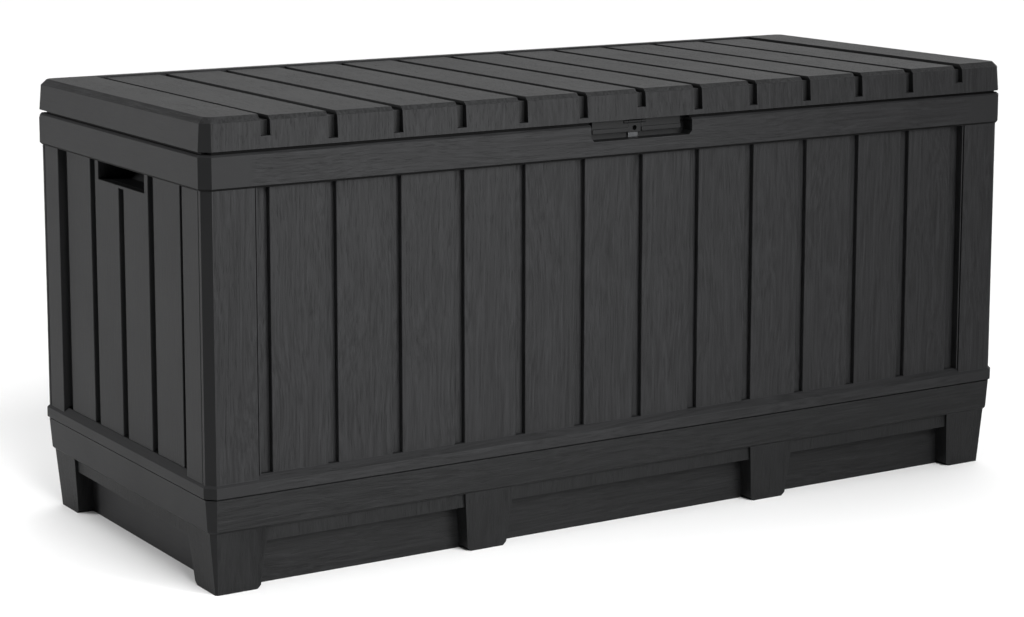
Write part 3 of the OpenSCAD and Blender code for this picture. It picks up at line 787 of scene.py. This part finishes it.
@dataclass
class LongWall:
    """A front or rear wall: a moulded sheet with a row of boards on its outer side."""

    frame: dict[str, Any]
    row: BoardRow
    node: str
    front: bool
    boards: int = 12
    pitch: float = 92.15 * MM
    groove: float = 14.5 * MM
    groove_depth: float = 7 * MM
    taper: float = -1.6 * MM
    edge: float = 1.1 * MM
    lip_w: float = 2 * MM
    sheet_t: float = 4 * MM
    overlap: float = 0.2 * MM
    seat: float = 1.5 * MM
    sheet_edge: float = 0.35 * MM
    foot: float = 148.5 * MM
    visible_top: float = 506 * MM
    hidden: float = 5 * MM

    def build(self) -> None:
        """Makes the sheet in mesh code and the boards with the row recipe, then joins them."""
        low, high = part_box(self.node)
        outward = -1.0 if self.front else 1.0
        lip_face = low.y if self.front else high.y
        inner = high.y if self.front else low.y
        floor = inner + outward * self.sheet_t
        face = floor + outward * self.groove_depth
        sheet = bmesh.new()
        top = self.visible_top + self.hidden
        solid_box(sheet, (low.x, min(floor, inner), low.z), (high.x, max(floor, inner), top))
        for side in (-1.0, 1.0):
            x0 = side * high.x
            x1 = side * (high.x - self.lip_w)
            y0, y1 = sorted((lip_face, floor))
            low_corner = (min(x0, x1), y0, self.foot)
            solid_box(sheet, low_corner, (max(x0, x1), y1 + self.overlap, self.visible_top))
        soften_edges(sheet, self.sheet_edge)
        back = from_bmesh(f"{self.node}_sheet", sheet)
        dress(back, [BOARD_UP])
        thickness = self.groove_depth + self.seat
        boards = self.row.run(
            f"{self.node}_boards",
            bpy.data.meshes.new("no_points"),
            {
                "Count": self.boards,
                "Pitch": self.pitch,
                "Width": self.pitch - self.groove - self.taper,
                "Height": top - self.foot,
                "Thickness": thickness,
                "Taper": self.taper,
                "Edge radius": self.edge,
                "Bottom": self.foot,
                "Seed": 11 if self.front else 12,
                "Finish": BOARD_UP.material(),
            },
        )
        turn = math.pi if self.front else 0.0
        middle = face - outward * thickness / 2
        boards.data.transform(Matrix.Translation((0, middle, 0)) @ Matrix.Rotation(turn, 4, "Z"))
        wall = merged(f"{self.node}_piece", [boards, back])
        place(crisp(wall), Body.BOX, "resin_body", [self.node])


@dataclass
class ShortWall:
    """A left or right wall, with its handle opening and the cup behind it."""

    frame: dict[str, Any]
    side: str
    edge: float = 1.1 * MM
    cup_edge: float = 0.8 * MM

    def build(self) -> None:
        """Makes the wall and the cup."""
        wall = soft_copy(self.frame, f"{self.side}_wall", f"{self.side}_wall_piece", self.edge)
        dress(wall, [SIDE_UP])
        place(crisp(wall), Body.BOX, "resin_body", [f"{self.side}_wall"])
        cup = soft_copy(self.frame, f"{self.side}_handle_cup", f"{self.side}_cup_piece", self.cup_edge)
        dress(cup, [FITTING])
        place(crisp(cup), Body.BOX, "resin_base", [f"{self.side}_handle_cup"])


@dataclass
class CornerPost:
    """One chamfered corner column."""

    frame: dict[str, Any]
    node: str
    edge: float = 1.2 * MM

    def slot(self, polygon: bpy.types.MeshPolygon) -> int:
        """The finish of one face of the column: front, corner chamfer in painted shade, or side."""
        if on_corner(polygon):
            return 1
        size = facing(polygon)
        return 2 if size.x > size.y else 0

    def build(self) -> None:
        """Makes the column."""
        post = soft_copy(self.frame, self.node, f"{self.node}_piece", self.edge)
        dress(post, [BOARD_UP, CORNER_SHADE, SIDE_UP], self.slot)
        place(crisp(post), Body.BOX, "resin_body", [self.node])


@dataclass
class Rim:
    """The rim band, and the pocket and lock plate in its latch recess."""

    frame: dict[str, Any]
    edge: float = 0.9 * MM
    seam_floor: float = 549.7 * MM
    under_slope: float = -0.3
    pocket_edge: float = 0.3 * MM
    plate_edge: float = 0.4 * MM

    def slot(self, polygon: bpy.types.MeshPolygon) -> int:
        """The finish of one face of the band: as any band, or painted shade in the seam gap and on the
        downward-facing underside.
        """
        if polygon.center.z > self.seam_floor or polygon.normal.z < self.under_slope:
            return 3
        return band_slot(polygon)

    def build(self) -> None:
        """Makes the band, the pocket and the plate."""
        band = soft_copy(self.frame, "rim_frame", "rim_band", self.edge)
        # The fourth finish paints shade into the seam gap and onto the downward-facing underside bevel
        dress(band, [BAND_X, BAND_Y, CORNER_SHADE, SEAM_SHADE], self.slot)
        place(crisp(band), Body.BOX, "resin_body", ["rim_frame"])
        pocket = soft_copy(self.frame, "latch_pocket", "latch_trough", self.pocket_edge)
        dress(pocket, [FITTING])
        place(crisp(pocket), Body.BOX, "resin_base", ["latch_pocket"])
        plate = soft_copy(self.frame, "lock_staple", "lock_plate", self.plate_edge)
        # The lock plate's near-black steel is painted shade for the shadowed latch recess
        dress(plate, [SHADED_STEEL])
        place(crisp(plate), Body.BOX, "steel", ["lock_staple"])


@dataclass
class Latch:
    """The finger lip of the lid, its lock tab and the tab's pin."""

    frame: dict[str, Any]
    edge: float = 0.5 * MM

    def build(self) -> None:
        """Makes the lip, the tab and the pin."""
        for node, name, finish, body, slot in (
            ("latch_lip", "finger_lip", FITTING, Body.LID, "resin_fittings"),
            ("hasp_tab", "lock_tab", FITTING, Body.HASP, "resin_fittings"),
            ("hasp_pin", "lock_tab_pin", STEEL, Body.LID, "steel"),
        ):
            piece = soft_copy(self.frame, node, name, self.edge)
            dress(piece, [finish])
            place(crisp(piece), body, slot, [node])


@dataclass
class Hinge:
    """One rear hinge: bracket on the rim, knuckle on the lid, and the pin."""

    frame: dict[str, Any]
    side: str
    edge: float = 0.5 * MM

    def build(self) -> None:
        """Makes the three parts."""
        for part, finish, body, slot in (
            ("hinge_bracket", FITTING, Body.BOX, "resin_fittings"),
            ("hinge_knuckle", FITTING, Body.LID, "resin_fittings"),
            ("hinge_pin", STEEL, Body.BOX, "steel"),
        ):
            node = f"{self.side}_{part}"
            piece = soft_copy(self.frame, node, f"{node}_piece", self.edge)
            dress(piece, [finish])
            place(crisp(piece), body, slot, [node])


@dataclass
class Lid:
    """The lid moulding and its inner panel."""

    frame: dict[str, Any]
    edge: float = 0.9 * MM
    liner_edge: float = 0.7 * MM
    top_slope: float = 0.6
    skirt: float = 4.8 * MM
    board_drop: float = 8.5 * MM
    under_drop: float = 9 * MM
    top: Vector = field(default_factory=Vector)

    def shell_slot(self, polygon: bpy.types.MeshPolygon) -> int:
        """The finish of one face of the moulding: top boards, front, sides, underside, or a corner chamfer
        in painted shade.
        """
        high = self.top
        middle = polygon.center
        size = facing(polygon)
        drop = high.z - middle.z
        inside = min(high.x - abs(middle.x), high.y - abs(middle.y)) > self.skirt
        if inside and drop > self.board_drop and (size.z > 0.5 or drop > self.under_drop):
            return 3
        if on_corner(polygon):
            return 4
        if polygon.normal.z > self.top_slope or (inside and drop <= self.board_drop):
            return 0
        return 2 if size.x > size.y else 1

    def build(self) -> None:
        """Makes the moulding and the panel."""
        self.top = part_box("lid_shell")[1]
        shell = soft_copy(self.frame, "lid_shell", "lid_moulding", self.edge)
        dress(shell, [TOP_DEEP, FASCIA_UP, BAND_Y, INNER, CORNER_SHADE], self.shell_slot)
        place(crisp(shell), Body.LID, "resin_lid", ["lid_shell"])
        liner = soft_copy(self.frame, "lid_liner", "lid_inner_panel", self.liner_edge)
        dress(liner, [INNER])
        place(crisp(liner), Body.LID, "resin_fittings", ["lid_liner"])


@dataclass
class Screws:
    """All the screws of one node, set with the screw recipe."""

    node: str
    name: str
    body: Body
    points: list[Point]
    headings: list[Point]

    def build(self, field_recipe: ScrewField, template: bpy.types.Object) -> None:
        """Sets the template at each point.

        Args:
            field_recipe: The recipe that sets them.
            template: One screw, its head on the plane z = 0 and up +Z.
        """
        mesh = bpy.data.meshes.new(self.name)
        mesh.from_pydata(self.points, [], [])
        heading = mesh.attributes.new("heading", "FLOAT_VECTOR", "POINT")
        for index, way in enumerate(self.headings):
            heading.data[index].vector = way
        made = field_recipe.run(self.name, mesh, {"Template": template, "Finish": STEEL.material()})
        place(crisp(made), self.body, "steel", [self.node])


@dataclass(frozen=True)
class ScrewShape:
    """Sizes of a round-headed screw with a cross recess."""

    head_r: float = 4 * MM
    head_h: float = 2.2 * MM
    shank_r: float = 2 * MM
    shank: float = 4 * MM
    slot_w: float = 0.9 * MM
    slot_l: float = 4.2 * MM
    slot_d: float = 1.0 * MM
    sides: int = 24

    def build(self) -> bpy.types.Object:
        """Turns the head's outline and cuts the cross into it."""
        outline = [
            (0.0, self.head_h),
            (self.head_r * 0.45, self.head_h * 0.97),
            (self.head_r * 0.8, self.head_h * 0.74),
            (self.head_r, self.head_h * 0.25),
            (self.head_r, 0.0),
            (self.shank_r, 0.0),
            (self.shank_r, -self.shank),
            (0.0, -self.shank),
        ]
        shape = bmesh.new()
        verts = [shape.verts.new((r, 0.0, z)) for r, z in outline]
        edges = [shape.edges.new(pair) for pair in zip(verts, verts[1:])]
        bmesh.ops.spin(
            shape, geom=verts + edges, axis=(0, 0, 1), cent=(0, 0, 0), angle=math.tau, steps=self.sides
        )
        bmesh.ops.remove_doubles(shape, verts=shape.verts, dist=10 * WELD)
        bmesh.ops.recalc_face_normals(shape, faces=shape.faces)
        screw = from_bmesh("screw_template", shape)
        low = self.head_h - self.slot_d
        high = self.head_h + self.slot_d
        for wide, deep in ((self.slot_l, self.slot_w), (self.slot_w, self.slot_l)):
            cutter = bmesh.new()
            solid_box(cutter, (-wide / 2, -deep / 2, low), (wide / 2, deep / 2, high))
            tool = from_bmesh("cross", cutter)
            cut = screw.modifiers.new("cross", "BOOLEAN")
            cut.object = tool
            cut.operation = "DIFFERENCE"
            plain_mesh(screw)
            bpy.data.objects.remove(tool)
        return screw


@dataclass
class Fasteners:
    """Places of every screw in the box."""

    hinge_x: float = 430 * MM
    hinge_y: float = 257 * MM
    shelf_z: float = 544 * MM
    head_h: float = 2.2 * MM
    bracket_hole_x: float = 37.5 * MM
    leaf_hole_x: float = 22 * MM
    leaf_y: float = 254.4 * MM
    leaf_z: float = 570 * MM
    boss_step: float = 276.45 * MM
    boss_y: float = 232 * MM
    boss_z: float = 566.6 * MM
    flange_x: float = 553.65 * MM
    flange_y: float = 240 * MM
    side_flange_x: float = 615 * MM
    side_flange_y: float = 230.5 * MM
    corner_z: tuple[float, ...] = (200 * MM, 320 * MM, 440 * MM)

    def build(self) -> None:
        """Sets every group of screws and clears the template away."""
        recipe = ScrewField()
        template = ScrewShape().build()
        hinges = [-self.hinge_x, 0.0, self.hinge_x]
        seat_z = self.shelf_z - self.head_h
        bracket = [(x + s * self.bracket_hole_x, self.hinge_y, seat_z) for x in hinges for s in (-1, 1)]
        leaf = [(x + s * self.leaf_hole_x, self.leaf_y, self.leaf_z) for x in hinges for s in (-1, 1)]
        boss_x = [i * self.boss_step for i in (-1.5, -0.5, 0.5, 1.5)]
        boss = [(x, s * self.boss_y, self.boss_z) for x in boss_x for s in (-1, 1)]
        corner = []
        turned = []
        for sx in (-1, 1):
            for sy in (-1, 1):
                for z in self.corner_z:
                    corner.append((sx * self.flange_x, sy * self.flange_y, z))
                    turned.append((0.0, -float(sy), 0.0))
                    corner.append((sx * self.side_flange_x, sy * self.side_flange_y, z))
                    turned.append((-float(sx), 0.0, 0.0))
        up = [(0.0, 0.0, 1.0)] * len(bracket)
        ahead = [(0.0, -1.0, 0.0)] * len(leaf)
        down = [(0.0, 0.0, -1.0)] * len(boss)
        groups = [
            Screws("bracket_screws", "hinge_bracket_screws", Body.BOX, bracket, up),
            Screws("knuckle_screws", "hinge_leaf_screws", Body.LID, leaf, ahead),
            Screws("liner_screws", "inner_panel_screws", Body.LID, boss, down),
            Screws("corner_screws", "post_screws", Body.BOX, corner, turned),
        ]
        for group in groups:
            group.build(recipe, template)
        bpy.data.objects.remove(template)


# ---------------------------------------------------------------- studio


@dataclass
class Lamp:
    """One soft panel of light."""

    name: str
    spot: Point
    aim: Point
    width: float
    height: float
    power: float
    spread: float = 180.0

    def build(self) -> None:
        """Hangs the panel and turns it to its aim."""
        data = bpy.data.lights.new(self.name, "AREA")
        data.shape = "RECTANGLE"
        data.size = self.width
        data.size_y = self.height
        data.energy = self.power
        data.spread = math.radians(self.spread)
        lamp = bpy.data.objects.new(self.name, data)
        lamp.location = self.spot
        lamp.visible_camera = False
        lamp.rotation_euler = (Vector(self.aim) - Vector(self.spot)).to_track_quat("-Z", "Y").to_euler()
        bpy.context.scene.collection.objects.link(lamp)


@dataclass(frozen=True)
class Glow:
    """One soft patch of the sky. Bearings run from +Y towards +X, in degrees."""

    bearing: float
    height: float
    strength: float
    reach: float = 32.0

    def shine(self, bench: Bench, way: Signal) -> Signal:
        """How brightly the patch shines in a direction."""
        turn = math.radians(self.bearing)
        rise = math.radians(self.height)
        heart = (math.sin(turn) * math.cos(rise), math.cos(turn) * math.cos(rise), math.sin(rise))
        settings = {"operation": "DOT_PRODUCT"}
        near = bench.add("ShaderNodeVectorMath", settings, {0: way, 1: heart}, out="Value")
        edge = math.cos(math.radians(self.reach))
        core = math.cos(math.radians(self.reach * 0.35))
        return near.ease(edge, core) * self.strength


@dataclass
class Studio:
    """Camera, floor and light."""

    lens: float = 90.26
    sensor: float = 36.0
    shift: tuple[float, float] = (0.0097, -0.12)
    eye: Point = (-1.9313, -3.0239, 0.9722)
    yaw: float = 31.828
    pitch: float = 8.589
    floor_reach: float = 40.0
    lamps: list[Lamp] = field(default_factory=list)
    glows: list[Glow] = field(default_factory=list)

    def camera(self) -> None:
        """Sets the camera up."""
        data = bpy.data.cameras.new("studio_camera")
        data.lens = self.lens
        data.sensor_width = self.sensor
        data.shift_x, data.shift_y = self.shift
        data.clip_end = 200.0
        eye = bpy.data.objects.new("studio_camera", data)
        eye.location = self.eye
        eye.rotation_euler = (math.radians(90 - self.pitch), 0.0, math.radians(-self.yaw))
        bpy.context.scene.collection.objects.link(eye)
        bpy.context.scene.camera = eye

    def floor(self) -> None:
        """Lays the floor."""
        reach = self.floor_reach
        corners = [(-reach, -reach, 0.0), (reach, -reach, 0.0), (reach, reach, 0.0), (-reach, reach, 0.0)]
        mesh = bpy.data.meshes.new("studio_floor")
        mesh.from_pydata(corners, [], [(0, 1, 2, 3)])
        mesh.materials.append(PaleFloor().material())
        new_piece("studio_floor", mesh)

    def light(self) -> None:
        """Lights the sky with its soft patches and hangs the lamps."""
        world = bpy.data.worlds.new("studio_sky")
        world.use_nodes = True
        world.node_tree.nodes.clear()
        bench = Bench(world.node_tree)
        way = bench.add("ShaderNodeTexCoord", {}, {}, out="Generated")
        total = sum(glow.shine(bench, way) for glow in self.glows)
        white = (1.0, 1.0, 1.0, 1.0)
        backing = bench.add("ShaderNodeBackground", {}, {"Color": white, "Strength": total})
        bench.add("ShaderNodeOutputWorld", {}, {"Surface": backing})
        bpy.context.scene.world = world
        for lamp in self.lamps:
            lamp.build()

    def build(self) -> None:
        """Makes the whole studio."""
        self.camera()
        self.floor()
        self.light()
        bpy.context.scene.view_settings.view_transform = "Standard"


LAMPS = [
    Lamp("front_panel", (1.35, -3.12, 1.12), (-0.75, -0.26, 0.3), 1.2, 1.2, 9.8, 60.0),
    Lamp("near_panel", (0.6, -2.4, 0.9), (-0.64, -0.26, 0.3), 0.8, 0.8, 4.4, 50.0),
    Lamp("left_panel", (-2.8, 1.6, 1.0), (-0.64, 0.1, 0.3), 1.0, 1.0, 18.6, 90.0),
]

GLOWS = [
    Glow(0.0, 14.0, 0.15),
    Glow(30.0, 14.0, 0.53),
    Glow(180.0, 36.0, 14.6, 20.0),
    Glow(0.0, 45.0, 0.41, 38.0),
    Glow(60.0, 45.0, 1.5, 38.0),
    Glow(0.0, 90.0, 1.2, 42.0),
]


def main() -> None:
    """Builds the box and the studio in order."""
    logging.basicConfig(level=logging.INFO, format="%(name)s %(message)s")
    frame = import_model()
    row = BoardRow()
    Footing(frame).build()
    LongWall(frame, row, "front_wall", True).build()
    LongWall(frame, row, "rear_wall", False).build()
    for side in ("left", "right"):
        ShortWall(frame, side).build()
    for node in ("front_left_post", "front_right_post", "rear_left_post", "rear_right_post"):
        CornerPost(frame, node).build()
    Rim(frame).build()
    Lid(frame).build()
    Latch(frame).build()
    for side in ("left", "centre", "right"):
        Hinge(frame, side).build()
    Fasteners().build()
    Studio(lamps=LAMPS, glows=GLOWS).build()


if __name__ == "__main__":
    main()
